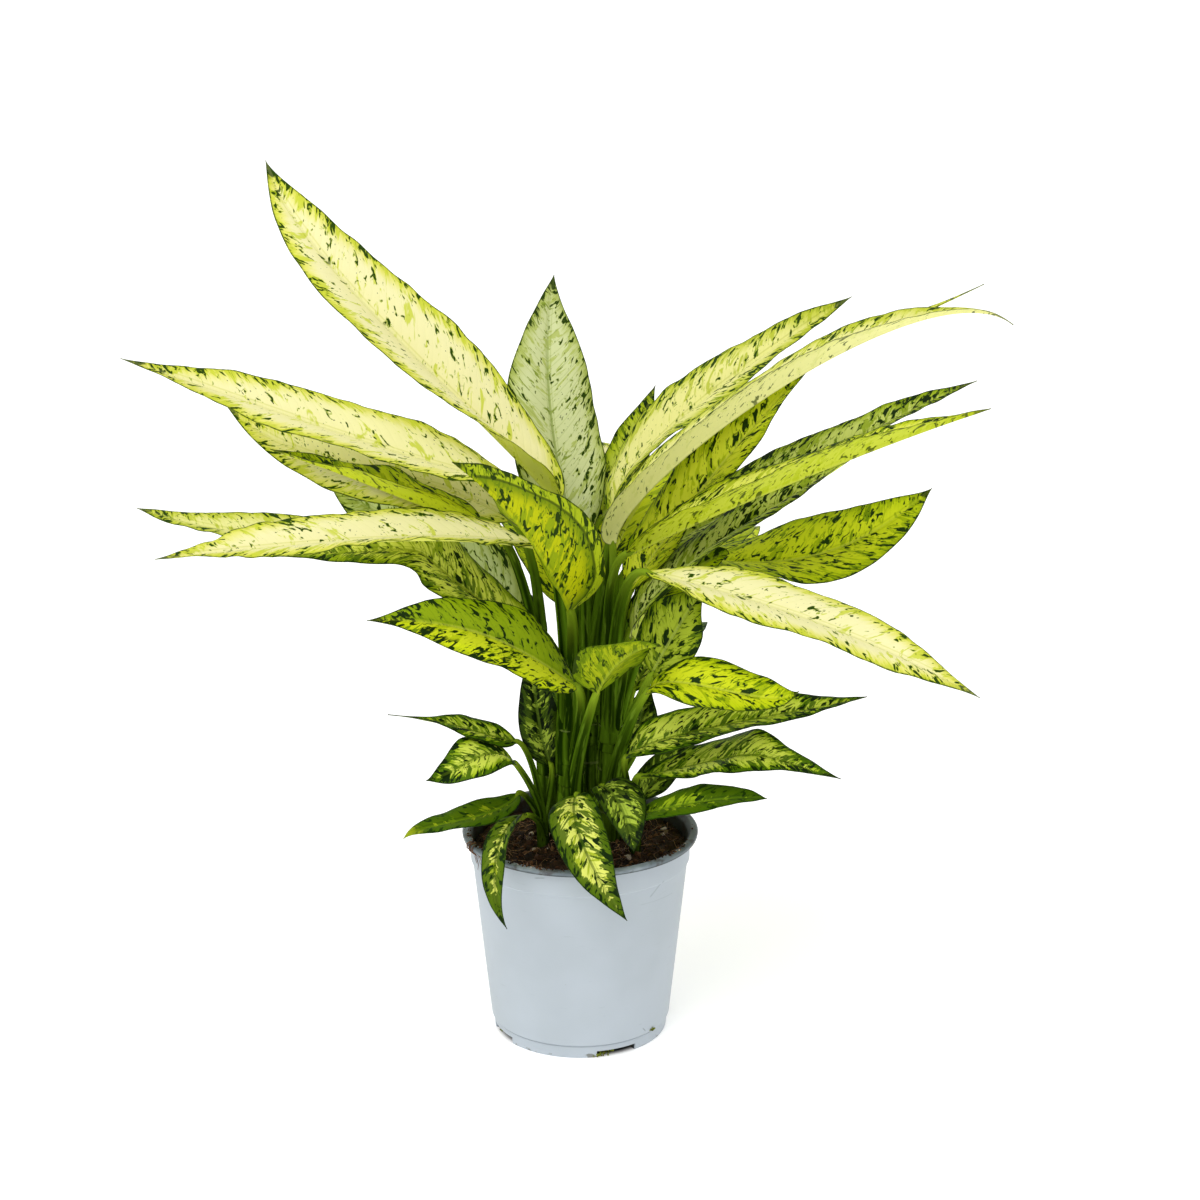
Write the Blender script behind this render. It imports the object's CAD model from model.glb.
"""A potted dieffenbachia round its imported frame: pot, compost, canes, stalks and leaves."""
import math
from functools import partialmethod
from types import SimpleNamespace

import bmesh
import bpy
import numpy as np
from mathutils import Matrix, Vector, noise


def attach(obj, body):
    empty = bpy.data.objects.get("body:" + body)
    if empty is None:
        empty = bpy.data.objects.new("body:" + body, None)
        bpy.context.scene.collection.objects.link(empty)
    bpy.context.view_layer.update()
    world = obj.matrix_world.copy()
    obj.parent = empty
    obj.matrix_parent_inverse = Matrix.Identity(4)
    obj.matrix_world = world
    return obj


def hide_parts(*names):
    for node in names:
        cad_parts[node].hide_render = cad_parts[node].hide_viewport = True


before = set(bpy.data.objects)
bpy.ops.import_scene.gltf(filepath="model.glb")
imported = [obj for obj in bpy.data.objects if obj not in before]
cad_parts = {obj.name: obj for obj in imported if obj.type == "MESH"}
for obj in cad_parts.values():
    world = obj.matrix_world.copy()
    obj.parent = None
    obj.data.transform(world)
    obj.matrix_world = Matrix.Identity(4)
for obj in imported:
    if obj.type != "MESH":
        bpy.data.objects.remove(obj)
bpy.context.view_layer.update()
rng = np.random.default_rng(17)

# Sizes and places are in millimetres, and a mesh is scaled to metres when it is made.
MM = 0.001

# ---- pot ----
POT_HEIGHT = 152
RIM_RADIUS = 85
RIM_DROP = 4
COLLAR_RADIUS = 79.2
COLLAR_FOOT = 131
WALL_TOP_RADIUS = 77.6
WALL_FOOT_RADIUS = 65
WALL_FOOT = 10
FOOT_RADIUS = 62.8
WALL = 1.6
FLOOR_TOP = 5
FLOOR_UNDERSIDE = 3
PAD_RADIUS = 20
FOOT_INNER_RADIUS = 54
POT_SEGMENTS = 160
POT_STATION = 6
ROUNDING = 0.7
SLOT_COUNT = 4
SLOT_FIRST_ANGLE = -65
SLOT_HALF_WIDTH = 14
SLOT_HEIGHT = 5
SLOT_INNER_RADIUS = 48
SHARP_FROM = 50  # degrees from which an edge is shaded as sharp

# ---- compost ----
SOIL_LEVEL = 139
SOIL_MOUND = 4
SOIL_BUMP = 1.6
SOIL_RINGS = 70
SOIL_SEGMENTS = 220
SOIL_SKIRT = [(0.6, 124), (2, 118)]  # the body below the surface: how far in, and height
CRUMBS = 900
CRUMB_REACH = 72.5
FIBRES = 230
FIBRE_REACH = 72
FIBRE_STEPS = 12
# Crumbs on the rim: the radii between which they lie, and each drift's middle and spread in degrees from
# +X and its count.
RIM_BED = (78.2, 83.4)
RIM_DRIFTS = [(-110, 8, 90), (-155, 12, 70), (-34, 7, 60), (60, 90, 40)]
# Strands that hang over the wall from under the rim: degrees from +X, and length.
STRANDS = [(-157, 15), (-154, 9), (-160, 11), (-156, 6)]
# Moss in the drainage slots and along the foot's seam: degrees from +X, radius, height, spread and tufts.
MOSS = [
    (-75, 61, 1.7, 5, 30), (-79, 62, 1.1, 3, 14), (-68, 60, 3.4, 3, 10), (-37.5, 65, 11.4, 2.6, 18),
    (-160, 61, 3, 3, 10), (110, 62, 3, 5, 30), (24, 62, 3, 4, 24),
]

# ---- shoots: a cane's foot in the soil, its top, and its radius ----
ROOT_DEPTH = 100
SHOOTS = {
    "front": ([-6, -12], [-7, -14, 272], 10.5),
    "right": ([20, 4], [23, 6, 262], 10),
    "left": ([-18, 13], [-25, 14, 232], 8.5),
    "back": ([5, 33], [7, 38, 272], 9),
    "basal_left": ([-25, -8], [-27, -10, 164], 4.5),
    "basal_front": ([6, -38], [7, -41, 164], 4.5),
    "basal_right": ([38, -19], [40, -21, 166], 4.5),
    "basal_back": ([-6, 58], [-8, 62, 168], 4.5),
}
CANE_STATION = 1.5
CANE_SIDES = 28
CANE_TAPER = 0.18
SCAR_GAP = 3.2  # from one old leaf scar to the next, in radii
STALK_RISE = 0.32
STALK_RUN_IN = 0.16
STALK_FOOT = (2.4, 0.06)  # a stalk's radius at its cane: millimetres, and share of its blade's width
STALK_END = (1.3, 0.022)  # and at its blade
STALK_FOOT_MOST = 0.66  # share of the cane's radius
SHEATH = 30  # length of the sleeve with which a stalk wraps its cane
SHEATH_RINGS = 8
STALK_RINGS = 34
RUN_ON_RINGS = 6  # where a stalk runs on under its blade
STALK_SIDES = 16
STALK_FLUTE = 0.16

# ---- blades ----
BLADE_THICKNESS = 0.6
MARGIN_THICKNESS = 0.3
WAVES = 2.2
WAVE_SHARE = 0.03
UNEVEN_SHARE = 0.06
CROWN_SHARE = 0.09
VEIN_HEIGHT = 0.34
GROOVE_DEPTH = 0.5
KEEL_DEPTH = 1.9
WIDEST_AT = 0.4
STATION_GAP = 2.2
USUAL_RIPPLE = 1.5
RIPPLE = {6: 3.2}  # height of a margin's small ripples, where a leaf has more than the usual
TAIL = {15: 1.5, 29: 2.2}  # above 1, a leaf's outer part is drawn out thin
VEIN_GAP = 7.5
# Columns of a blade's half, as shares of its width: close at the midrib and at the margin.
HALF_COLUMNS = [0.03, 0.07, 0.13, 0.2, 0.29, 0.38, 0.48, 0.58, 0.68, 0.77, 0.85, 0.92, 0.97, 1]

# A leaf to a line: its look, its shoot and the height at which it leaves it, the midrib's four points from
# foot to tip, the blade's width, and its roll and its fold in degrees, each at the foot and at the tip.
LEAF_TABLE = """
pale front 240 -14 6 393 -83 5 466 -161 1 551 -209 -4 631 71 -8 -72 46 4
pale front 228 -44 -12 411 -119 -19 433 -210 -21 465 -309 -25 501 60 -12 -37 17 17
pale left 220 -48 6 380 -113 13 406 -182 15 423 -246 20 459 57 -45 -54 14 14
lime left 208 -68 -15 386 -115 -14 400 -153 -11 414 -213 -3 433 46 10 0 30 30
dusk left 192 -42 10 306 -85 25 345 -139 39 373 -183 50 408 53 -45 -52 15 15
# left
pale front 216 -25 -14 366 -107 -57 384 -201 -74 383 -283 -80 376 59 -2 -21 19 19
lemon left 214 -57 38 330 -137 58 339 -237 68 352 -322 80 369 54 -4 -22 16 16
bold front 178 -24 -20 301 -97 -24 354 -123 -28 368 -219 -24 362 60 -30 -25 12 12
# centre
gold front 200 -6 -50 330 -19 -76 367 -44 -95 410 -82 -105 449 80 20 28 42 36
sage back 240 -1 35 353 -17 54 416 -23 69 480 -18 77 540 71 2 3 6 6
inner back 228 14 53 367 30 68 392 42 80 423 54 88 458 39 18 19 15 15
hood front 160 12 -60 275 22 -80 299 37 -97 317 55 -108 324 54 -20 -10 15 15
# upper right
citron back 246 24 34 378 53 53 423 117 62 476 190 52 529 60 -2 35 17 17
pale back 232 21 47 342 85 44 435 175 38 492 279 30 542 25 0 6 8 8
lemon right 225 23 -7 366 78 -12 436 196 -16 513 293 -20 523 54 -10 2 30 30
bright right 210 36 21 324 71 33 374 117 40 432 165 46 484 60 16 22 17 17
ash back 232 42 50 339 116 60 377 196 68 422 283 72 465 56 19 12 19 19
# right
strip right 218 33 -20 363 103 -30 399 195 -35 439 277 -40 470 55 -2 -12 30 30
ash right 186 36 -9 297 72 -4 346 134 6 388 194 10 427 54 -2 8 12 16
shaded right 170 36 14 298 60 15 325 89 22 344 106 24 350 36 30 30 15 15
lime back 218 83 74 334 153 82 329 209 88 346 257 95 380 66 5 61 10 10
pale right 204 46 -49 358 115 -84 349 189 -116 330 265 -130 295 58 6 25 8 8
# middle height
deep right 160 50 -36 280 61 -46 305 72 -51 326 86 -56 351 57 68 72 8 8
split front 176 -3 -50 277 -39 -76 310 -81 -96 333 -140 -109 342 60 -38 -42 11 11
lime right 160 48 -73 282 76 -92 292 117 -106 288 146 -116 295 48 16 30 9 9
# low right
low basal_right 160 33 -32 218 72 -41 238 138 -54 257 197 -65 274 46 22 13 15 15
low basal_right 154 43 -35 205 99 -58 226 127 -81 236 178 -95 225 48 13 27 10 10
green basal_right 148 40 -45 179 69 -60 192 101 -73 202 129 -80 205 32 22 18 10 10
# low left
low basal_left 162 -45 -19 225 -70 -32 236 -96 -39 246 -133 -45 254 28 -30 -1 10 10
low basal_left 158 -46 -30 213 -64 -51 227 -83 -64 222 -105 -77 217 37 -17 -37 5 5
tipped basal_left 152 -44 -24 187 -67 -43 179 -99 -57 176 -122 -71 172 26 -21 -8 10 10
fresh basal_left 146 -38 -45 179 -54 -75 173 -58 -93 147 -50 -97 115 21 19 10 25 25
dim basal_left 150 -21 -6 203 -28 -6 228 -32 -6 258 -36 -5 284 30 -70 -80 12 12
# low front
fresh basal_front 158 -2 -49 196 -2 -85 188 11 -102 160 33 -110 127 38 19 2 5 5
dim basal_front 152 16 -35 197 25 -52 195 33 -64 181 38 -67 160 38 4 4 19 19
# back, where the photograph does not reach
lime back 226 16 66 330 34 128 356 52 196 370 70 256 356 58 6 -6 16 16
lime back 206 -10 64 300 -26 122 332 -42 186 342 -56 244 322 58 -8 6 14 14
lime left 200 -48 62 308 -86 104 346 -128 146 372 -170 190 378 56 -10 8 16 16
lime right 196 48 50 284 78 110 316 114 168 326 130 214 298 56 12 -6 14 14
pale back 238 -4 64 344 8 116 374 24 168 386 40 216 376 52 8 0 18 18
low left 180 -34 48 262 -54 96 284 -76 144 284 -98 188 266 50 -6 4 12 12
low right 176 38 34 244 58 80 262 78 126 264 92 168 246 48 8 -4 12 12
green basal_back 160 -14 76 206 -20 104 221 -27 132 220 -32 158 206 36 -6 4 10 10
green basal_back 152 4 78 194 22 102 204 40 126 199 56 148 183 32 6 -4 10 10
# among the canes at the right
dim basal_right 156 44 0 173 54 10 185 69 20 196 87 28 205 30 20 20 10 10
dim right 168 41 28 203 43 30 218 46 32 233 51 32 249 28 50 50 14 14
"""


def leaf_row(line):
    look, shoot, *words = line.split()
    height, *points, width, roll_from, roll_to, fold_from, fold_to = map(float, words)
    points = np.reshape(points, (4, 3))
    return look, shoot, height, points, width, (roll_from, roll_to), (fold_from, fold_to)


def lerp(a, b, t):
    return a + (b - a) * t


def smooth(low, high, value):
    t = np.clip((value - low) / (high - low), 0, 1)
    return t * t * (3 - 2 * t)


def unit(v):
    return v / np.linalg.norm(v, axis=-1, keepdims=True)


def polar(radius, angle):
    return radius * math.cos(angle), radius * math.sin(angle)


def somewhere(reach):
    """A random place within a reach of the axis, alike over the whole disc."""
    return polar(reach * math.sqrt(rng.uniform()), rng.uniform(0, math.tau))


def distances(points):
    """How far each point is from the first, along the line through them."""
    return np.concatenate([[0], np.cumsum(np.linalg.norm(np.diff(points, axis=0), axis=1))])


LEAVES = [leaf_row(line) for line in LEAF_TABLE.splitlines() if line and line[0] != "#"]


# ---- node graphs ----
def colour(code):
    """A #rrggbb colour as linear RGBA."""
    values = [int(code[i:i + 2], 16) / 255 for i in (1, 3, 5)]
    return tuple(v / 12.92 if v <= 0.04045 else ((v + 0.055) / 1.055) ** 2.4 for v in values) + (1.0,)


class Graph:
    """Builds a material's nodes. A value may be a socket or a constant. Its base is what lay adds to."""

    def __init__(self, name):
        self.material = bpy.data.materials.new(name)
        self.material.use_nodes = True
        self.tree = self.material.node_tree
        self.shader = self.tree.nodes["Principled BSDF"]

    def node(self, kind, inputs=None, **properties):
        made = self.tree.nodes.new("ShaderNode" + kind)
        for key, value in properties.items():
            setattr(made, key, value)
        for key, value in (inputs or {}).items():
            self.feed(made.inputs[key], value)
        return made

    def feed(self, socket, value):
        if isinstance(value, bpy.types.NodeSocket):
            self.tree.links.new(value, socket)
        elif isinstance(value, str):
            socket.default_value = colour(value)
        else:
            socket.default_value = value

    def math(self, operation, a, b=0.0, c=0.0):
        return self.node("Math", {0: a, 1: b, 2: c}, operation=operation).outputs[0]

    plus = partialmethod(math, "ADD")
    minus = partialmethod(math, "SUBTRACT")
    times = partialmethod(math, "MULTIPLY")
    scaled = partialmethod(math, "MULTIPLY_ADD")
    size = partialmethod(math, "ABSOLUTE")
    most = partialmethod(math, "MAXIMUM")

    def step(self, value, low, high, start=0.0, end=1.0):
        """A smooth step of a value from start, at low, to end, at high."""
        inputs = {0: value, 1: low, 2: high, 3: start, 4: end}
        return self.node("MapRange", inputs, interpolation_type="SMOOTHSTEP").outputs[0]

    def mix(self, share, a, b, blend="MIX"):
        made = self.node("Mix", data_type="RGBA", blend_type=blend)
        for key, value in (("Factor_Float", share), ("A_Color", a), ("B_Color", b)):
            self.feed(next(s for s in made.inputs if s.identifier == key), value)
        return next(s for s in made.outputs if s.identifier == "Result_Color")

    def over(self, base, tone, value, low, high, share=1.0):
        """A tone over a base by a share, which comes in where a value goes from low to high."""
        return self.mix(self.step(value, low, high, 0.0, share), base, tone)

    def lay(self, tone, value, low, high, share=1.0):
        self.base = self.over(self.base, tone, value, low, high, share)

    def lay_by(self, share, tone, blend="MIX"):
        self.base = self.mix(share, self.base, tone, blend)

    def split(self, vector):
        return self.node("SeparateXYZ", {0: vector}).outputs

    def attribute(self, name):
        return self.split(self.node("Attribute", attribute_name=name).outputs["Vector"])

    def position(self):
        return self.node("NewGeometry").outputs["Position"]

    def white_noise(self, value):
        return self.node("TexWhiteNoise", {"W": value}, noise_dimensions="1D").outputs["Value"]

    def vector(self, x, y, z):
        return self.node("CombineXYZ", {0: x, 1: y, 2: z}).outputs[0]

    def noise(self, vector, scale=1.0, detail=2.0, **others):
        inputs = {"Vector": vector, "Scale": scale, "Detail": detail}
        inputs.update((key.title(), value) for key, value in others.items())
        return self.node("TexNoise", inputs).outputs[0]

    def bump(self, height, distance, strength):
        made = self.node("Bump", {"Height": height, "Distance": distance, "Strength": strength})
        self.feed(self.shader.inputs["Normal"], made.outputs[0])

    def finish(self, roughness, specular):
        self.feed(self.shader.inputs["Base Color"], self.base)
        self.feed(self.shader.inputs["Roughness"], roughness)
        self.shader.inputs["Specular IOR Level"].default_value = specular
        return self.material


# ---- meshes ----
def placed(name, data):
    made = bpy.data.objects.new(name, data)
    bpy.context.scene.collection.objects.link(made)
    return made


def grid_faces(rows, columns, closed=False, first=0):
    """Quads of a grid of points, row by row. A closed grid joins its last column to its first."""
    a = np.arange(rows - 1)[:, None] * columns
    b = np.arange(columns if closed else columns - 1)[None, :]
    c = (b + 1) % columns
    quads = np.stack([a + b, a + c, a + columns + c, a + columns + b], axis=-1)
    return quads.reshape(-1, 4) + first


def halved(quads):
    """Triangles of quads, all cut along the same diagonal, so that a thin sheet's two faces match."""
    return np.concatenate([quads[:, [0, 1, 2]], quads[:, [0, 2, 3]]])


def piece(name, points, faces, material, nodes, attributes=None):
    """A smooth mesh object that rides on the root and replaces the named nodes."""
    mesh = bpy.data.meshes.new(name)
    mesh.from_pydata((np.asarray(points) * MM).tolist(), [], [list(map(int, f)) for f in faces])
    mesh.polygons.foreach_set("use_smooth", [True] * len(mesh.polygons))
    for key, values in (attributes or {}).items():
        layer = mesh.attributes.new(key, "FLOAT_VECTOR", "POINT")
        layer.data.foreach_set("vector", np.asarray(values, dtype=np.float32).ravel())
    mesh.update()
    mesh.materials.append(material)
    made = placed(name, mesh)
    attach(made, "root")
    if nodes:
        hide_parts(*nodes)
    return made


# ---- curves ----
class Cubic:
    """A cubic Bezier curve, read at an array of places from 0 to 1."""

    def __init__(self, a, b, c, d):
        self.points = a, b, c, d

    @classmethod
    def through(cls, points):
        """The curve through four points, the inner two at a third and two thirds."""
        a, b, c, d = points
        return cls(a, (-5 * a + 18 * b - 9 * c + 2 * d) / 6, (2 * a - 9 * b + 18 * c - 5 * d) / 6, d)

    def at(self, t):
        a, b, c, d = self.points
        t = t[:, None]
        return (1 - t) ** 3 * a + 3 * t * (1 - t) ** 2 * b + 3 * t * t * (1 - t) * c + t ** 3 * d

    def heading(self, t):
        a, b, c, d = self.points
        t = t[:, None]
        return unit((1 - t) ** 2 * (b - a) + 2 * t * (1 - t) * (c - b) + t * t * (d - c))


def wander(t, waves, seed):
    """A smooth random line over t, about -1 to 1, the same for the same seed."""
    return np.array([noise.noise(Vector((float(v) * waves, seed * 7.31, 3.7))) for v in t])


def wander_beside(s, t, waves, seed):
    """A random line for the side of s above 0, and another for the other side."""
    left, right = (wander(t, waves, seed + more)[:, None] for more in (0, 50))
    return np.where(s > 0, left, right)


# ---- leaves ----
def outline(t, tail):
    """A blade's half width along t, as a share."""
    near = (1 - (1 - np.minimum(t / WIDEST_AT, 1)) ** 2.2) ** 0.6
    x = np.clip((t - WIDEST_AT) / (1 - WIDEST_AT), 0, 1)
    return np.where(t < WIDEST_AT, near, np.cos(math.pi / 2 * x) ** tail * (1 - 0.45 * x ** 12))


def blade(row, index, material):
    """A blade: a thin closed sheet folded along a sunken midrib, with waved margins and raised veins."""
    _, _, _, points, width, roll, fold = row
    rib = Cubic.through(points)
    coarse = rib.at(np.linspace(0, 1, 60))
    length = np.linalg.norm(np.diff(coarse, axis=0), axis=1).sum()
    count = int(length / STATION_GAP)
    t = (1 - np.cos(np.pi * np.linspace(0, 1, count + 1))) / 2
    t = 0.35 * t + 0.65 * np.linspace(0, 1, count + 1)
    spine = rib.at(t)
    run = distances(spine)

    leftward = unit(np.cross([0, 0, 1], unit((points[3] - points[0]) * [1, 1, 0])))
    along = rib.heading(t)
    level = unit(leftward - along * (along @ leftward)[:, None])
    upright = np.cross(along, level)
    turn = np.radians(lerp(*roll, t))[:, None]
    lift = np.radians(lerp(*fold, t))[:, None]
    side = level * np.cos(turn) + upright * np.sin(turn)
    normal = upright * np.cos(turn) - level * np.sin(turn)

    half = np.maximum(lerp(1.6, 0.2, t ** 0.7), width / 2 * outline(t, TAIL.get(index + 1, 1)))
    s = np.array(HALF_COLUMNS[::-1] + [0] + [-v for v in HALF_COLUMNS])[None, :]
    reach = np.abs(s)
    size = half[:, None]
    uneven = wander_beside(s, run, 0.045, index + 40) * UNEVEN_SHARE
    across = size * s * (1 + uneven * np.minimum(1, size / 8))
    away = np.abs(across)

    swing = np.sin(math.tau * WAVES * t[:, None] + index * 1.7 + np.where(s < 0, 2, 0))
    wave = WAVE_SHARE * width * s * s * swing * np.minimum(1, size / 8)
    ripple = wander_beside(s, run, 0.075, index + 140) * reach ** 3 * RIPPLE.get(index + 1, USUAL_RIPPLE)
    ripple = ripple * np.minimum(1, size / 12)
    vein = run[:, None] - 0.8 * away - 0.01 * away * away
    ridge = np.abs(np.sin(math.pi * vein / VEIN_GAP)) - 0.6
    ridge = ridge * VEIN_HEIGHT * smooth(0.02, 0.3, reach) * (1 - 0.6 * smooth(0.7, 1, reach))
    ridge = ridge * np.minimum(1, size / 14)
    crown = CROWN_SHARE * size * np.sin(math.pi * reach) * np.cos(lift)
    groove = -GROOVE_DEPTH * np.exp(-(away / 1.5) ** 2) * (1 - 0.7 * t[:, None])
    height = size * reach * np.sin(lift) + wave + ripple + ridge + crown + groove

    top = spine[:, None] + side[:, None] * (across * np.cos(lift))[..., None]
    top = top + normal[:, None] * height[..., None]
    keel = KEEL_DEPTH * (1 - 0.85 * t[:, None]) * np.exp(-(away / (1.9 - 1.1 * t[:, None])) ** 2)
    thick = lerp(BLADE_THICKNESS, MARGIN_THICKNESS, reach) + keel * np.minimum(1, size / 3)
    under = top - normal[:, None] * thick[..., None]

    rows, columns = top.shape[:2]
    offset = rows * columns
    grid = np.arange(offset).reshape(rows, columns)
    ring = np.concatenate([grid[:-1, 0], grid[-1, :-1], grid[:0:-1, -1], grid[0, :0:-1]])
    following = np.roll(ring, -1)
    rim = np.stack([ring, following, following + offset, ring + offset], axis=-1)
    upper = halved(grid_faces(rows, columns))
    faces = np.concatenate([upper, upper[:, ::-1] + offset, halved(rim)])
    place = np.stack([across, vein, 0 * vein + index * 13.7], axis=-1)
    margin = size * (1 - reach)
    edge = [np.stack([margin, t[:, None] + 0 * s, 0 * margin + lower], axis=-1) for lower in (0, 1)]
    number = "%02d" % (index + 1)
    surface = np.concatenate([top.reshape(-1, 3), under.reshape(-1, 3)])
    attributes = {"place": [place, place], "edge": edge}
    piece("blade_" + number, surface, faces, material, ["leaf_" + number], attributes)


# ---- shoots ----
def cane_axis(shoot, z):
    """The point of a cane's axis at a height."""
    foot, top, _ = SHOOTS[shoot]
    share = (z - ROOT_DEPTH) / (top[2] - ROOT_DEPTH)
    return lerp(np.array([*foot, ROOT_DEPTH], float), np.array(top, float), share)


class Parts:
    """Gathers closed tubes and lumps into one mesh."""

    def __init__(self):
        self.points, self.faces, self.places, self.tones = [], [], [], []
        self.count = 0

    def add(self, points, faces, place, tone=None):
        self.faces.extend([[int(i) + self.count for i in face] for face in faces])
        self.points.append(points)
        self.places.append(place)
        self.tones.append(np.zeros((len(points), 3)) if tone is None else tone)
        self.count += len(points)

    def add_tube(self, centres, radii, across, sides, flute=0.0, tone=None):
        """A tube along a path. A flute sinks its upper side, and a tone has a row to each ring."""
        centres = np.asarray(centres, float)
        along = unit(np.gradient(centres, axis=0))
        across = unit(across - along * (along @ across)[:, None])
        up = np.cross(along, across)
        angle = math.tau * np.arange(sides) / sides
        sunk = 1 - flute * np.exp(-((angle - math.pi / 2) / 0.5) ** 2)
        circle = radii[:, None] * sunk
        u, v = circle * np.cos(angle), circle * np.sin(angle)
        rings = centres[:, None] + across[:, None] * u[..., None]
        rings = rings + up[:, None] * v[..., None]
        place = np.stack([distances(centres)[:, None] + 0 * u, u, v], axis=-1)
        faces = grid_faces(len(centres), sides, closed=True).tolist()
        last = (len(centres) - 1) * sides
        faces.append(list(range(sides))[::-1])
        faces.append(list(range(last, last + sides)))
        tone = None if tone is None else np.repeat(tone, sides, axis=0)
        self.add(rings.reshape(-1, 3), faces, place.reshape(-1, 3), tone)

    def piece(self, name, material, nodes, slot):
        attributes = {"place": np.concatenate(self.places), "tone": np.concatenate(self.tones)}
        piece(name, np.concatenate(self.points), self.faces, material, nodes, attributes)


def cane(parts, shoot):
    """A cane tapers upwards, with a raised ring at each old leaf scar."""
    _, top, radius = SHOOTS[shoot]
    z = np.arange(ROOT_DEPTH, top[2] + 0.01, CANE_STATION)
    gap = radius * SCAR_GAP
    first = SOIL_LEVEL + gap * 0.8
    nearest = first + gap * np.round((z - first) / gap)
    away = z - nearest
    ring = np.where((nearest >= first - 1) & (nearest < top[2] - gap * 0.4), 1.0, 0.0)
    taper = 1 - CANE_TAPER * (z - ROOT_DEPTH) / (top[2] - ROOT_DEPTH)
    scar = ring * (0.1 * np.exp(-(away / 1.1) ** 2) - 0.05 * np.exp(-((away + 2.6) / 1.4) ** 2))
    dome = np.sqrt(np.clip((top[2] + 1 - z) / radius, 0.02, 1))
    centres = [cane_axis(shoot, v) for v in z]
    pale = ring * np.exp(-(away / 1.3) ** 2)
    tone = np.stack([pale, 0 * z, 0 * z], axis=-1)
    radii = radius * taper * (1 + scar) * dome
    parts.add_tube(centres, radii, np.array([1.0, 0, 0]), CANE_SIDES, tone=tone)


def stalk(parts, row, index):
    """A stalk wraps its cane as a sleeve, swings out of it and runs on under its blade's midrib."""
    _, shoot, height, points, width, _, _ = row
    rib = Cubic.through(points)
    heading = rib.heading(np.zeros(1))[0]
    end = points[0] - 0.5 * heading
    start = cane_axis(shoot, height)
    reach = np.linalg.norm(end - start)
    curve = Cubic(start, start + [0, 0, reach * STALK_RISE], end - heading * reach * STALK_RUN_IN, end)
    radius = SHOOTS[shoot][2]
    foot_radius = min(radius * STALK_FOOT_MOST, STALK_FOOT[0] + width * STALK_FOOT[1])
    end_radius = STALK_END[0] + width * STALK_END[1]
    t = np.linspace(0, 1, STALK_RINGS)
    outward = unit((end - start) * [1, 1, 0])
    low = max(SOIL_LEVEL - 4, height - SHEATH * (0.6 + 0.4 * math.sin(index * 2.1)))
    sleeve_z = np.linspace(low, height, SHEATH_RINGS + 1)[:-1]
    bias = np.linspace(0.05, 0.12, SHEATH_RINGS)[:, None] * radius * outward
    sleeve = np.array([cane_axis(shoot, z) for z in sleeve_z]) + bias
    into = np.array(rib.at(np.linspace(0.008, 0.05, RUN_ON_RINGS))) - [0, 0, 0.9]
    centres = np.concatenate([sleeve, curve.at(t) + outward * 0.12 * radius * (1 - t[:, None]) ** 2, into])
    sleeve_radius = np.linspace(radius * 0.97, radius * 0.9, SHEATH_RINGS)
    body = foot_radius + (end_radius - foot_radius) * t
    body = body + (radius * 0.88 - foot_radius) * np.exp(-(t / 0.16) ** 2)
    radii = np.concatenate([sleeve_radius, body, np.linspace(end_radius * 0.9, 0.4, RUN_ON_RINGS)])
    side = np.cross([0, 0, 1.0], outward)
    along = np.concatenate([np.zeros(SHEATH_RINGS), t, np.ones(RUN_ON_RINGS)])
    shade = np.full_like(along, 0.5 + 0.5 * math.sin(index * 3.7))
    tone = np.stack([0 * along, along, shade], axis=-1)
    parts.add_tube(centres, radii, side, STALK_SIDES, STALK_FLUTE, tone)


def shoot_piece(name, material):
    parts = Parts()
    cane(parts, name)
    for index, row in enumerate(LEAVES):
        if row[1] == name:
            stalk(parts, row, index)
    parts.piece("stems_" + name, material, ["shoot_" + name], "stem")


# ---- pot ----
def rounded(profile, radius, steps=4):
    """A closed outline of (r, z) corners with each corner cut by a small arc."""
    points = [np.array(p, float) for p in profile]
    made = []
    for i, corner in enumerate(points):
        if corner[0] == 0:
            made.append(corner)
            continue
        before, after = points[i - 1] - corner, points[(i + 1) % len(points)] - corner
        cut = min(radius, np.linalg.norm(before) * 0.45, np.linalg.norm(after) * 0.45)
        a = corner + before / np.linalg.norm(before) * cut
        b = corner + after / np.linalg.norm(after) * cut
        for k in range(steps + 1):
            t = k / steps
            made.append((1 - t) ** 2 * a + 2 * t * (1 - t) * corner + t * t * b)
    return np.array(made)


def pot_profile():
    inside = WALL_TOP_RADIUS - WALL
    return [
        (0, 0), (PAD_RADIUS, 0), (PAD_RADIUS + 1.5, FLOOR_UNDERSIDE),
        (FOOT_INNER_RADIUS - 1, FLOOR_UNDERSIDE), (FOOT_INNER_RADIUS, 0), (FOOT_RADIUS, 0),
        (FOOT_RADIUS + 0.7, WALL_FOOT - 1.2), (FOOT_RADIUS + 0.1, WALL_FOOT - 0.5),
        (WALL_FOOT_RADIUS, WALL_FOOT + 0.3), (WALL_TOP_RADIUS, COLLAR_FOOT - 0.8),
        (COLLAR_RADIUS - 0.2, COLLAR_FOOT), (COLLAR_RADIUS, POT_HEIGHT - RIM_DROP),
        (RIM_RADIUS - 0.6, POT_HEIGHT - RIM_DROP), (RIM_RADIUS, POT_HEIGHT - 1),
        (RIM_RADIUS - 1.5, POT_HEIGHT), (RIM_RADIUS - 5, POT_HEIGHT),
        (COLLAR_RADIUS - WALL, POT_HEIGHT - RIM_DROP), (inside + 1, COLLAR_FOOT + 1),
        (inside, COLLAR_FOOT - 1), (WALL_FOOT_RADIUS - WALL, WALL_FOOT), (FOOT_RADIUS - WALL, FLOOR_TOP),
        (0, FLOOR_TOP),
    ]


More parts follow.
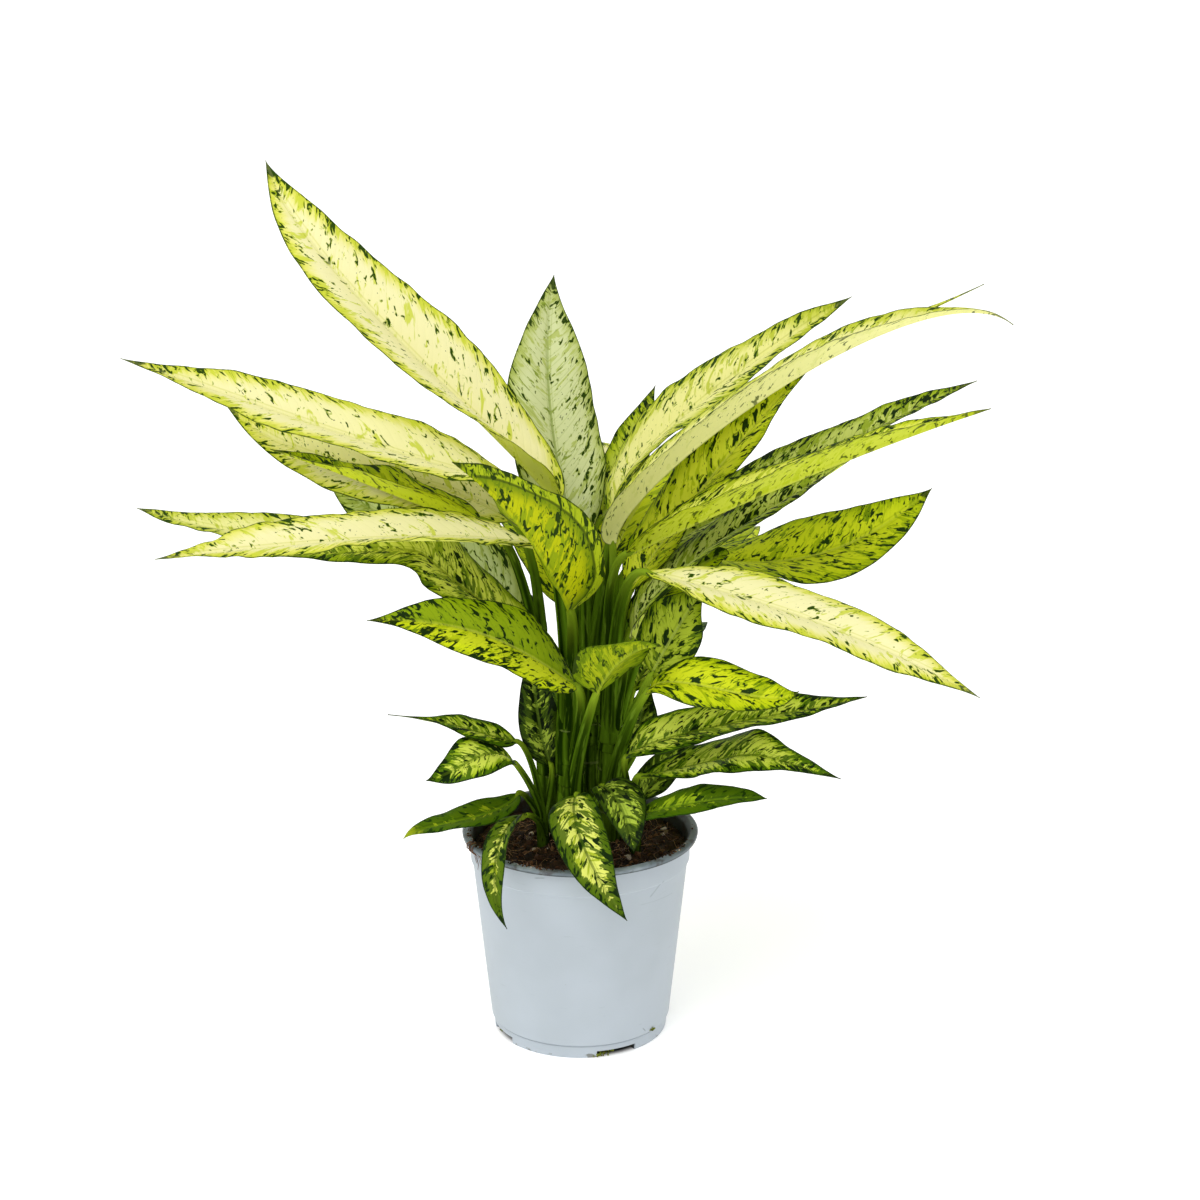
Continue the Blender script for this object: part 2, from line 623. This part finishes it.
def subdivided(profile, longest):
    """The profile with its long sides cut into steps."""
    made = []
    for a, b in zip(profile[:-1], profile[1:]):
        steps = max(1, int(np.linalg.norm(b - a) / longest))
        made.extend(lerp(a, b, k / steps) for k in range(steps))
    return np.array(made + [profile[-1]])


def lathe(profile, segments):
    """Points and faces of a profile turned round +Z, with single points on the axis."""
    angle = math.tau * np.arange(segments) / segments
    r, z = profile[1:-1, :1], profile[1:-1, 1:]
    rings = np.stack([r * np.cos(angle), r * np.sin(angle), z + 0 * angle], axis=-1).reshape(-1, 3)
    rows = len(r)
    faces = grid_faces(rows, segments, closed=True).tolist()
    first, last = rows * segments, rows * segments + 1
    for k in range(segments):
        following = (k + 1) % segments
        faces.append([first, following, k])
        faces.append([last, (rows - 1) * segments + k, (rows - 1) * segments + following])
    ends = [[0, 0, profile[0, 1]], [0, 0, profile[-1, 1]]]
    return np.concatenate([rings, ends]), faces


def slot_cutter(middle):
    """A bent block that cuts one drainage slot, open at the bottom."""
    half = math.radians(SLOT_HALF_WIDTH)
    angle = np.linspace(middle - half, middle + half, 13)
    inner, outer = SLOT_INNER_RADIUS, WALL_FOOT_RADIUS + 6
    corners = ((inner, -2), (outer, -2), (outer, SLOT_HEIGHT), (inner, SLOT_HEIGHT))
    points = [[*polar(r, a), z] for a in angle for r, z in corners]
    faces = grid_faces(len(angle), 4, closed=True)[:, ::-1].tolist()
    faces.append([0, 1, 2, 3])
    last = (len(angle) - 1) * 4
    faces.append([last + 3, last + 2, last + 1, last])
    mesh = bpy.data.meshes.new("cutter")
    mesh.from_pydata((np.array(points) * MM).tolist(), [], faces)
    return placed("cutter", mesh)


def pot_piece(material):
    profile = subdivided(rounded(pot_profile(), ROUNDING), POT_STATION)
    points, faces = lathe(profile, POT_SEGMENTS)
    made = piece("nursery_pot", points, faces, material, ["pot"])
    for slot in range(SLOT_COUNT):
        cutter = slot_cutter(math.radians(SLOT_FIRST_ANGLE + 360 * slot / SLOT_COUNT))
        cut = made.modifiers.new("slot", "BOOLEAN")
        cut.object, cut.operation, cut.solver = cutter, "DIFFERENCE", "EXACT"
        bpy.context.view_layer.update()
        evaluated = made.evaluated_get(bpy.context.evaluated_depsgraph_get())
        mesh = bpy.data.meshes.new_from_object(evaluated)
        made.modifiers.clear()
        made.data = mesh
        bpy.data.objects.remove(cutter)
    soften = made.modifiers.new("edges", "EDGE_SPLIT")
    soften.split_angle = math.radians(SHARP_FROM)


# ---- compost ----
def fractal(x, y, z, scale, octaves):
    return noise.fractal(Vector((x * scale, y * scale, z)), 0.9, 2.1, octaves)


def soil_height(x, y):
    away = math.hypot(x, y) / WALL_TOP_RADIUS
    lumps = math.sin(x * 0.19 + 1.3) * math.cos(y * 0.23 - 0.4) + 0.6 * math.sin(x * 0.41 - y * 0.37)
    level = SOIL_LEVEL + SOIL_MOUND * (1 - away * away) + SOIL_BUMP * lumps * (1 - 0.5 * away)
    clods = fractal(x, y, 1.7, 0.11, 5)
    pits = max(0.0, fractal(x, y, 8.2, 0.2, 2)) ** 2
    return level + 1.7 * clods - 1.5 * pits - 0.4


def soil_piece(material):
    reach = WALL_TOP_RADIUS - WALL + 0.2
    points = [[0, 0, soil_height(0, 0)]]
    angles = [math.tau * segment / SOIL_SEGMENTS for segment in range(SOIL_SEGMENTS)]
    for ring in range(1, SOIL_RINGS + 1):
        for angle in angles:
            x, y = polar(reach * ring / SOIL_RINGS, angle)
            points.append([x, y, soil_height(x, y)])
    points += [[*polar(reach - inset, angle), z] for inset, z in SOIL_SKIRT for angle in angles]
    rows = SOIL_RINGS + len(SOIL_SKIRT)
    faces = grid_faces(rows, SOIL_SEGMENTS, closed=True, first=1)[:, ::-1].tolist()
    last = 1 + (rows - 1) * SOIL_SEGMENTS
    points.append([0, 0, SOIL_SKIRT[-1][1]])
    for k in range(SOIL_SEGMENTS):
        following = (k + 1) % SOIL_SEGMENTS
        faces.append([0, 1 + k, 1 + following])
        faces.append([len(points) - 1, last + following, last + k])
    piece("compost", points, faces, material, ["soil"])


def lump_shapes(count, subdivisions):
    """Some knobbly closed shapes about a unit across."""
    made = []
    for which in range(count):
        ball = bmesh.new()
        bmesh.ops.create_icosphere(ball, subdivisions=subdivisions, radius=1)
        points = np.array([v.co[:] for v in ball.verts])
        faces = [[v.index for v in f.verts] for f in ball.faces]
        ball.free()
        push = np.array([noise.noise(Vector(p) * 1.4 + Vector((which * 5.3, 0, 0))) for p in points])
        made.append((points * (1 + 0.55 * push[:, None]), faces))
    return made


def turned(points):
    turn = Matrix.Rotation(rng.uniform(0, math.tau), 3, Vector(rng.normal(size=3)).normalized())
    return points @ np.array(turn)


def crumbs_piece(material):
    """Loose crumbs, bark chips and lumps of compost on the surface and along the rim."""
    shapes = lump_shapes(9, 2)
    parts = Parts()

    def drop(x, y, z, size, flat):
        points, faces = shapes[rng.integers(len(shapes))]
        shaped = turned(points * [1, rng.uniform(0.5, 0.9), flat]) * size
        tint = np.full((len(points), 3), rng.uniform(0, 100))
        parts.add(shaped + [x, y, z], faces, tint)

    for _ in range(CRUMBS):
        x, y = somewhere(CRUMB_REACH)
        size = 0.7 + 2.3 * rng.uniform() ** 3
        drop(x, y, soil_height(x, y) + size * 0.3, size, rng.uniform(0.35, 0.8))
    for middle, spread, count in RIM_DRIFTS:
        for _ in range(count):
            angle = math.radians(rng.normal(middle, spread))
            radius = rng.uniform(*RIM_BED)
            size = 0.35 + 0.9 * rng.uniform() ** 2
            inward = max(0.0, RIM_RADIUS - 5 - radius)
            slope = POT_HEIGHT - inward * RIM_DROP / (WALL + RIM_RADIUS - 5 - COLLAR_RADIUS)
            drop(*polar(radius, angle), slope + size * 0.3, size, 0.6)
    parts.piece("crumbs", material, [], "soil")


def moss_piece(material):
    """Cushions of moss with short shoots, in the drainage slots and along the foot's seam."""
    shapes = lump_shapes(5, 2)
    parts = Parts()
    for middle, radius, height, spread, count in MOSS:
        for _ in range(count):
            angle = math.radians(middle) + rng.normal(0, spread * 0.5) / radius
            out = radius + rng.normal(0, 0.8)
            z = max(0.7, height + rng.normal(0, min(spread * 0.25, 0.9)))
            centre = np.array([*polar(out, angle), z])
            points, faces = shapes[rng.integers(len(shapes))]
            size = rng.uniform(0.35, 0.8)
            tint = rng.uniform(0, 100)
            parts.add(turned(points * size) + centre, faces, np.full((len(points), 3), tint))
            way = np.array([*polar(1, angle), 0.5]) + rng.normal(0, 0.5, 3)
            line = centre + np.linspace(0, rng.uniform(0.8, 1.8), 4)[:, None] * unit(way)
            line[:, 2] = np.maximum(line[:, 2], 0.3)
            first = parts.count
            parts.add_tube(line, np.array([0.2, 0.17, 0.12, 0.04]), np.array([0.3, 0.2, 1.0]), 5)
            parts.places[-1] = np.full((parts.count - first, 3), tint)
    parts.piece("moss", material, [], "soil")


def fibres_piece(material):
    """Coir fibres and fine roots that lie over the compost."""
    parts = Parts()
    for _ in range(FIBRES):
        x, y = somewhere(FIBRE_REACH - 2)
        way, bend = rng.uniform(0, math.tau), rng.normal(0, 0.16)
        length = rng.uniform(7, 26)
        thick = rng.uniform(0.12, 0.32)
        arch = rng.uniform(0.2, 2.2)
        centres, steps = [], FIBRE_STEPS
        for k in range(steps + 1):
            if math.hypot(x, y) < FIBRE_REACH:
                base = soil_height(x, y)
            centres.append([x, y, base + 0.2 + arch * math.sin(math.pi * k / steps)])
            way += bend + rng.normal(0, 0.1)
            x, y = x + math.cos(way) * length / steps, y + math.sin(way) * length / steps
            if math.hypot(x, y) > FIBRE_REACH:
                way += math.pi * 0.6
                x, y = x * 0.97, y * 0.97
        radii = thick * (1 - 0.6 * np.linspace(0, 1, steps + 1))
        parts.add_tube(centres, radii, np.array([0, 0, 1.0]) + 0.01, 6)
    for degrees, length in STRANDS:
        path = strand_path(math.radians(degrees), length)
        parts.add_tube(path, np.linspace(0.5, 0.15, len(path)), np.array([0.3, 1.0, 0.1]), 6)
    parts.piece("fibres", material, [], "soil")


def strand_path(angle, length):
    """A strand lies over the rim and hangs down along the wall, a little wavy."""
    line = [(RIM_RADIUS + out, POT_HEIGHT + up) for out, up in ((-4, 0.3), (-1.5, 0.5), (0.4, -0.6))]
    for k in range(13):
        radius = lerp(RIM_RADIUS + 0.3, COLLAR_RADIUS + 0.8, min(1, k / 4))
        line.append((radius, POT_HEIGHT - RIM_DROP - length * k / 12))
    made = []
    for k, (radius, z) in enumerate(line):
        turn = angle + 0.012 * math.sin(k * 0.9 + angle * 40) + 0.003 * k
        made.append([*polar(radius, turn), z])
    return made


# ---- materials ----
# How a kind of leaf is coloured. Its tints are "centre" beside the midrib, "field" towards the margins,
# "edge" along them, "patch" for mottling, "green" for streaks, "dark" for flecks, "under" and "rib".
# "flecks", "greens", "patches" and "blots" are the heights of the noise above which each shows, "near" and
# "spread" lower those of flecks and patches at the margins, "blot_reach", "band" and "feather" say how far
# in blots, field and green reach, "halves" how much of the tint "half" the left and the right side get,
# "below" how far the underside differs, "tip" how yellow the tip is, and "ridge" how far in a fold lies.
USUAL = dict(
    flecks=0.6, near=0.035, greens=0.6, patches=0.53, spread=0.02, blots=0.6, blot_reach=6, band=13,
    feather=0, vein=0.1, rib_share=0.75, half=None, halves=(0, 0), below=0.75, tip=0, ridge=0,
)
TINTS = ("centre", "field", "edge", "patch", "green", "dark", "under", "rib")


def look(tints, **own):
    """A look: its tints in the order of TINTS, and what isn't as usual."""
    return {**dict(zip(TINTS, ("#" + code for code in tints.split()))), **own}


LOOKS = {
    "pale": look("f5f0b4 e6e468 c6cf3c ccd538 96aa14 2c4704 dfe748 e9e89c", rib_share=0.5, flecks=0.672,
        near=0.085, greens=0.69, patches=0.58, spread=0.11, blots=0.62, vein=0.05),
    "lemon": look("f0eda0 d6da5a acb82c c0ca34 88a00e 2a4404 f6f4a8 e2e48c", rib_share=0.5, flecks=0.66,
        near=0.078, greens=0.66, patches=0.56, spread=0.08, blots=0.61, vein=0.06),
    "citron": look("ebe894 c8ce48 98a81c b6c030 7c960c 2a4404 d6dc54 e2e48c", rib_share=0.5, flecks=0.645,
        near=0.075, greens=0.65, patches=0.55, spread=0.08, blots=0.6, band=15, vein=0.06),
    "bright": look("e8ee3e d8e424 b4c612 c0ce16 84a00a 1e3602 d2de30 d6dc58", flecks=0.62, band=14),
    "lime": look("d2dc20 bece0e 93a808 9cb006 6a8604 1e3602 c4d024 bfca40", flecks=0.612, band=14),
    "gold": look("bcc008 8fa406 6a8404 82980a 567204 1a3202 a9ba1c 98aa14", patches=0.52, band=17,
        vein=0.2, below=0.1, ridge=9),
    "hood": look("b0ba18 7c960a 567204 728c08 466404 1a3202 8ca010 a3b234", flecks=0.645, greens=0.54,
        patches=0.51, vein=0.4, below=0.3),
    "sage": look("dbe2ac c6d084 a3b350 b8c566 869a30 2c4206 b9c46a 9eae60", rib_share=0.85, flecks=0.645,
        near=0.065, greens=0.62, patches=0.55, spread=0.04, vein=0.35),
    "dusk": look("cfda9a bac868 8ca03a a6b652 66801c 223a06 b6c464 9cae60", flecks=0.62, near=0.05,
        vein=0.3),
    "ash": look("dce680 aec22c 88a20e 9ab018 648206 182e02 cedc54 cad672", flecks=0.585, near=0.05,
        blots=0.57, vein=0.2),
    "strip": look("e8ec68 c8d41a 90a608 b2c216 6c8804 1c3402 bac81c e0e47c", near=0.05, band=10),
    "deep": look("a9ba34 8a9e14 6c820a 72880c 466004 142a02 8c9e1e a0b04c", greens=0.57, vein=0.18),
    "inner": look("cad650 b2c21e 8ea40c 90a40e 5c7604 182e02 a9b926 b8c45c", greens=0.58, vein=0.18),
    "bold": look("e6ec66 a9bc18 708806 8ca20a 52700a 182e02 9cae1c a3b038", flecks=0.61, greens=0.56,
        patches=0.51, band=10, vein=0.2),
    "split": look("ccd624 cddb12 a9ba0a b0c00a 64800a 162c02 a9bb14 a9b63c", half="#7a960a",
        halves=(0, 0.85), flecks=0.598, blots=0.54, blot_reach=11, vein=0.2),
    "shaded": look("c6d422 bccd0c 9cb006 a0b208 5c7604 182e02 a3b41c b4c04c", half="#70880a",
        halves=(0.85, 0), vein=0.2),
    "low": look("dae65c a5c00a 809a08 84a208 3e6202 102602 8ca02c 6d8618", greens=0.525, band=10,
        feather=2.2, blots=0.57),
    "dim": look("b0c644 7e9a1c 3c5408 587008 2e4604 0e1e02 5c7420 5c7420", greens=0.49, band=9, feather=3,
        blots=0.57),
    "fresh": look("dfe56c c0ce2c 869e10 9eb012 3f5e02 122802 8ba02c 3a5606", flecks=0.615, greens=0.515,
        band=8, feather=5, blots=0.58),
    "green": look("a6c020 90b014 527204 688a08 426402 1e3a02 527514 749418", flecks=0.64, greens=0.45,
        band=8, feather=6),
}
LOOKS["tipped"] = {**LOOKS["green"], "centre": "#a9b81e", "field": "#90ac14", "tip": 0.9}


def leaf_material(name):
    own = SimpleNamespace(**{**USUAL, **LOOKS[name]})
    g = Graph("leaf " + name)
    across, vein, seed = g.attribute("place")
    margin, t, under = g.attribute("edge")
    away = g.size(across)

    def streaks(along, beside, shift, **detail):
        """Noise in the blade's own plane, drawn out along the side veins."""
        x, y = g.times(across, along), g.times(vein, beside)
        return g.noise(g.vector(x, y, g.plus(seed, shift)), **detail)

    fleck = streaks(0.21, 0.185, 0, distortion=0.7)
    speck = streaks(0.52, 0.44, 31, detail=1)
    stroke = streaks(0.11, 0.23, 21.3, detail=3, roughness=0.6, distortion=0.8)
    mottle = streaks(0.07, 0.12, 3.1, detail=3, roughness=0.6, distortion=0.9)
    clusters = streaks(0.03, 0.05, 6.3, detail=1)
    uneven = g.scaled(streaks(0.09, 0.2, 9.7, detail=3, roughness=0.65), 12, -6)
    inward = g.plus(margin, uneven)
    bare = g.minus(clusters, 0.5)

    # The ground: centre, field, edge, and the greener half.
    near = g.step(inward, own.band, own.band * 0.15)
    g.base = g.mix(near, own.centre, own.field)
    g.lay(own.edge, inward, 4.5, 0.5, 0.8)
    patches = g.step(g.scaled(near, own.spread, mottle), own.patches, own.patches + 0.07)
    g.lay_by(g.times(patches, 0.85), own.patch)
    g.lay(own.patch, t, 0.14, 0, 0.6)
    if own.half:
        left, right = own.halves
        g.lay_by(g.step(g.scaled(uneven, 0.3, across), -2, 2, right, left), own.half)

    if own.ridge:
        there = g.step(across, 0.5, 2.5)
        beyond = g.minus(margin, own.ridge)
        g.lay_by(g.times(there, g.step(beyond, 13, 1, 0, 0.75)), own.green)
        g.lay_by(g.times(there, g.step(beyond, 0.6, -1.6, 0, 0.9)), own.under)

    # Streaks of green along the side veins.
    greens = g.scaled(near, 0.03, g.scaled(bare, 0.2, stroke))
    if own.feather:
        inside = g.step(inward, own.feather * 1.8, own.feather * 0.4)
        greens = g.scaled(inside, 0.3, greens)
    g.lay(own.green, greens, own.greens, own.greens + 0.03, 0.9)

    # Flecks with a green halo, small specks, and large blots by the margin.
    limit = g.scaled(bare, -0.28, g.scaled(near, -own.near, own.flecks))
    over = g.minus(fleck, limit)
    g.lay(own.green, over, -0.045, -0.005, 0.8)
    dark = g.step(over, 0, 0.015)
    dark = g.most(dark, g.step(g.scaled(bare, 0.2, speck), 0.73, 0.75, 0, 0.85))
    blot = g.step(mottle, own.blots, own.blots + 0.02)
    dark = g.most(dark, g.times(blot, g.step(inward, own.blot_reach, own.blot_reach / 2)))
    dark = g.most(dark, g.times(g.step(margin, 1.25, 0.4), g.step(stroke, 0.4, 0.5, 0.5, 0.95)))
    dark = g.most(dark, g.step(g.scaled(fleck, 0.1, t), 0.985, 1.02))
    if own.tip:
        yellow = g.step(g.scaled(stroke, 0.3, t), 0.92, 1.08, 0, own.tip)
        g.lay_by(yellow, own.centre)
        dark = g.times(dark, g.minus(1, yellow))
    g.lay_by(dark, own.dark)

    if own.ridge:
        g.lay_by(g.times(there, g.step(g.size(beyond), 1.7, 0.4, 0, 0.8)), own.dark)

    # The midrib with a shade on each side of it, and the side veins.
    g.lay_by(g.times(g.step(away, 1.4, 0.6), g.step(t, 0.97, 0.5, 0.1, own.rib_share)), own.rib)
    g.lay_by(g.step(g.size(g.minus(away, 2)), 0.8, 0.1, 0, 0.3), own.patch, "MULTIPLY")
    saw = g.math("PINGPONG", g.math("DIVIDE", vein, VEIN_GAP), 0.5)
    g.lay_by(g.times(g.step(saw, 0.09, 0), own.vein), own.patch, "MULTIPLY")

    below = g.mix(g.times(dark, 0.75), own.under, own.dark)
    g.lay_by(g.times(under, own.below), below)
    grain = g.noise(g.vector(g.times(across, 0.9), g.times(vein, 0.9), seed), detail=3)
    relief = g.plus(g.times(grain, 0.5), g.step(saw, 0.12, 0, 0.5, 0))
    g.bump(relief, 0.0004, 0.35)
    return g.finish(g.scaled(grain, 0.16, 0.46), 0.08)


def stem_material():
    """Smooth dark green stalks, lighter towards their blades, and pale corky scars on the canes."""
    g = Graph("stem")
    run, side, front = g.attribute("place")
    scar, share, shade = g.attribute("tone")
    streak = g.noise(g.vector(g.times(run, 0.012), side, front), 0.22)
    spots = g.noise(g.vector(g.times(run, 0.12), side, front), 0.4, 3)
    g.base = g.over("#162a02", "#547414", g.scaled(shade, 0.14, streak), 0.4, 0.74)
    g.lay("#76962c", spots, 0.56, 0.7, 0.45)
    g.lay("#92ac28", share, 0.6, 1.05, 0.7)
    g.lay("#7c8a4c", g.scaled(spots, 0.8, scar), 0.9, 1.15, 0.4)
    height = g.split(g.position())[2]
    g.lay("#1d2408", height, 0.19, 0.145, 0.5)
    g.bump(streak, 0.0004, 0.3)
    return g.finish(g.scaled(spots, 0.2, 0.5), 0)


# Scuffs on the pot's wall: from and to, in degrees from +X and height, and the width, colour and share.
POT_MARKS = [
    (-49.8, 122.7, -41.4, 132, 1.1, "#8b959b", 0.6),
    (-56, 118.7, -30.6, 117.3, 0.5, "#98a2a8", 0.5),
    (-113, 143, -108, 144, 0.8, "#7d868c", 0.55),
    (-46.5, 16, -44, 13, 0.7, "#59615f", 0.6),
    (150, 90, 141, 84, 0.5, "#98a2a8", 0.5),
]


def pot_material():
    """Pale blue-grey plastic with faint flow marks and scuffs, its rim and foot soiled by compost."""
    g = Graph("nursery pot")
    place = g.position()
    x, y, z = g.split(place)
    radius = g.math("SQRT", g.plus(g.times(x, x), g.times(y, y)))
    angle = g.math("ARCTAN2", y, x)
    cloud = g.noise(place, 14, 3)
    grain = g.noise(place, 900)
    dirt = g.noise(place, 60, 5, roughness=0.7)
    g.base = g.over("#adb6bd", "#b4bdc5", cloud, 0.3, 0.7)
    flow = g.noise(g.vector(g.times(angle, 5), g.times(z, 420), 0), detail=4)
    g.lay("#8d979e", flow, 0.66, 0.74, 0.2)
    g.lay("#8a949a", g.size(g.minus(z, 0.0098)), 0.0012, 0.0003, 0.3)

    around = (WALL_FOOT_RADIUS + WALL_TOP_RADIUS) / 2
    for first, low, last, high, width, tone, share in POT_MARKS:
        mean = math.radians((first + last) / 2)
        reach = around * math.radians(last - first)
        length = math.hypot(reach, high - low)
        u = g.times(g.minus(angle, mean), around)
        v = g.scaled(z, 1 / MM, -(low + high) / 2)
        along = g.scaled(u, reach / length, g.times(v, (high - low) / length))
        beside = g.scaled(u, -(high - low) / length, g.times(v, reach / length))
        within = g.step(g.size(along), length / 2 + 1, length / 2 - 1)
        over = g.step(g.scaled(dirt, width * 1.6, g.size(beside)), width * 1.6, width)
        g.lay_by(g.times(g.times(within, over), share), tone)

    # The rim is greyer and worn, darkest below its lip and on the right; the wall's inside is dark.
    rim = g.times(g.step(z, 0.1476, 0.148), g.step(radius, 0.0772, 0.0778))
    smudge = g.noise(g.vector(g.times(angle, 4), g.times(z, 130), 3), detail=4)
    grey = g.over("#68737a", "#8c979c", smudge, 0.4, 0.62)
    grey = g.over(grey, "#4f5a5c", x, 0.045, 0.075, 0.75)
    grey = g.over(grey, "#3c4548", z, 0.1496, 0.1486, 0.85)
    grey = g.over(grey, "#474e4f", radius, 0.0812, 0.0798, 0.85)
    g.lay_by(rim, grey)
    inner = g.times(g.step(z, 0.1312, 0.132), g.step(radius, 0.0779, 0.0775))
    g.lay_by(inner, "#3a3c36")
    g.lay_by(g.times(g.step(dirt, 0.5, 0.6), g.most(g.times(rim, 0.6), inner)), "#33261a")
    slots = g.times(g.step(radius, 0.0622, 0.0612), g.step(z, 0.008, 0.006))
    g.lay_by(slots, "#23282a")
    low = g.plus(g.step(z, 0.001, 0.006, 0.18, 0), dirt)
    g.lay("#5d5a48", low, 0.74, 0.8, 0.7)
    g.bump(g.plus(g.times(grain, 0.6), flow), 0.0002, 0.2)
    return g.finish(g.scaled(cloud, 0.15, 0.4), 0.3)


def soil_material():
    g = Graph("compost")
    place = g.position()
    coarse = g.noise(place, 110, 5, roughness=0.65)
    fine = g.noise(place, 700, 4, roughness=0.7)
    g.base = g.over("#160e07", "#3c2816", coarse, 0.35, 0.65)
    g.lay("#6c4c2c", fine, 0.58, 0.72, 0.65)
    g.bump(g.plus(fine, coarse), 0.0012, 0.9)
    return g.finish(g.scaled(fine, 0.2, 0.75), 0.2)


def crumb_material():
    """Peat crumbs in dark and reddish browns, some bark, and a few white bits of perlite."""
    g = Graph("crumbs")
    tint = g.attribute("place")[0]
    place = g.position()
    each = g.white_noise(tint)
    fine = g.noise(place, 900, 4, roughness=0.7)
    g.base = g.over("#180e08", "#56361e", each, 0.1, 0.7)
    g.lay("#86603c", each, 0.72, 0.9, 0.8)
    g.lay("#654226", fine, 0.5, 0.7, 0.5)
    g.lay("#d5c6b8", each, 0.955, 0.96, 0.9)
    g.bump(fine, 0.0008, 0.8)
    return g.finish(g.scaled(fine, 0.2, 0.7), 0.2)


def moss_material():
    g = Graph("moss")
    each = g.white_noise(g.attribute("place")[0])
    g.base = g.mix(each, "#535c12", "#97a434")
    g.lay("#4a3a1c", each, 0.75, 0.8, 0.8)
    fine = g.noise(g.position(), 1500, 3)
    g.bump(fine, 0.0005, 0.6)
    return g.finish(g.scaled(fine, 0.2, 0.7), 0.2)


def fibre_material():
    g = Graph("fibres")
    place = g.position()
    tone = g.noise(place, 40, 3)
    g.base = g.over("#5a3820", "#b58e68", tone, 0.35, 0.65)
    g.bump(g.noise(place, 1500), 0.0002, 0.5)
    return g.finish(g.scaled(tone, 0.2, 0.6), 0.3)


def floor_material():
    """Bright paper that glows a little except under the pot, so that its shade stays nearly white."""
    g = Graph("floor")
    place = g.position()
    tone = g.noise(place, 3, 3)
    outside = g.step(g.node("VectorMath", {0: place}, operation="LENGTH").outputs["Value"], 0.056, 0.064)
    g.base = g.mix(outside, "#3c3c38", g.mix(tone, "#f5f5f5", "#f9f9f9"))
    g.shader.inputs["Emission Color"].default_value = (1, 1, 1, 1)
    g.feed(g.shader.inputs["Emission Strength"], g.times(outside, FLOOR_GLOW))
    return g.finish(1, 0)


# ---- stage ----
CAMERA_AT = (14.3, -1797, 865)
CAMERA_DIP = 16.78  # degrees below the horizon
FOCAL_LENGTH = 80.16  # on a sensor 36 mm wide
FLOOR_GLOW = 0.4
SUN_WAY = (0.5, 0.75, -1.25)
SUN_STRENGTH = 1.2
SUN_SPREAD = 45  # the angle that it fills, in degrees
SKY = (0.02, 0.4, 1.0, 0.68)  # from and to, as the sine of the height, and the strength at each


def add_floor():
    """A pale level floor, so large that it fills the view."""
    mesh = bpy.data.meshes.new("floor")
    near, far, reach = -12, 48, 24
    points = [(-reach, near, 0), (reach, near, 0), (reach, far, 0), (-reach, far, 0)]
    mesh.from_pydata(points, [], [(0, 1, 2, 3)])
    mesh.materials.append(floor_material())
    placed("floor", mesh)


def add_camera():
    data = bpy.data.cameras.new("camera")
    data.sensor_width = 36
    data.lens = FOCAL_LENGTH
    data.clip_start, data.clip_end = 0.05, 80
    camera = placed("camera", data)
    camera.location = Vector(CAMERA_AT) * MM
    camera.rotation_euler = (math.radians(90 - CAMERA_DIP), 0, 0)
    bpy.context.scene.camera = camera


def add_sun():
    data = bpy.data.lights.new("key", "SUN")
    data.energy, data.angle = SUN_STRENGTH, math.radians(SUN_SPREAD)
    placed("key", data).rotation_euler = Vector(SUN_WAY).to_track_quat("-Z", "Y").to_euler()


def add_world():
    """An even sky, brighter towards the horizon so that the floor runs into it."""
    world = bpy.data.worlds.new("studio")
    world.use_nodes = True
    nodes, link = world.node_tree.nodes, world.node_tree.links.new
    split, fade = nodes.new("ShaderNodeSeparateXYZ"), nodes.new("ShaderNodeMapRange")
    for key, value in enumerate(SKY, 1):
        fade.inputs[key].default_value = value
    link(nodes.new("ShaderNodeTexCoord").outputs["Generated"], split.inputs[0])
    link(split.outputs["Z"], fade.inputs[0])
    link(fade.outputs[0], nodes["Background"].inputs["Strength"])
    nodes["Background"].inputs["Color"].default_value = (1, 1, 1, 1)
    bpy.context.scene.world = world


bpy.context.scene.view_settings.view_transform = "Standard"
add_camera()
add_world()
add_floor()
add_sun()

# ---- the whole ----
leaf_materials = {look: leaf_material(look) for look in LOOKS}
for index, row in enumerate(LEAVES):
    blade(row, index, leaf_materials[row[0]])
stems = stem_material()
for shoot in SHOOTS:
    shoot_piece(shoot, stems)
pot_piece(pot_material())
soil_piece(soil_material())
crumbs_piece(crumb_material())
moss_piece(moss_material())
fibres_piece(fibre_material())
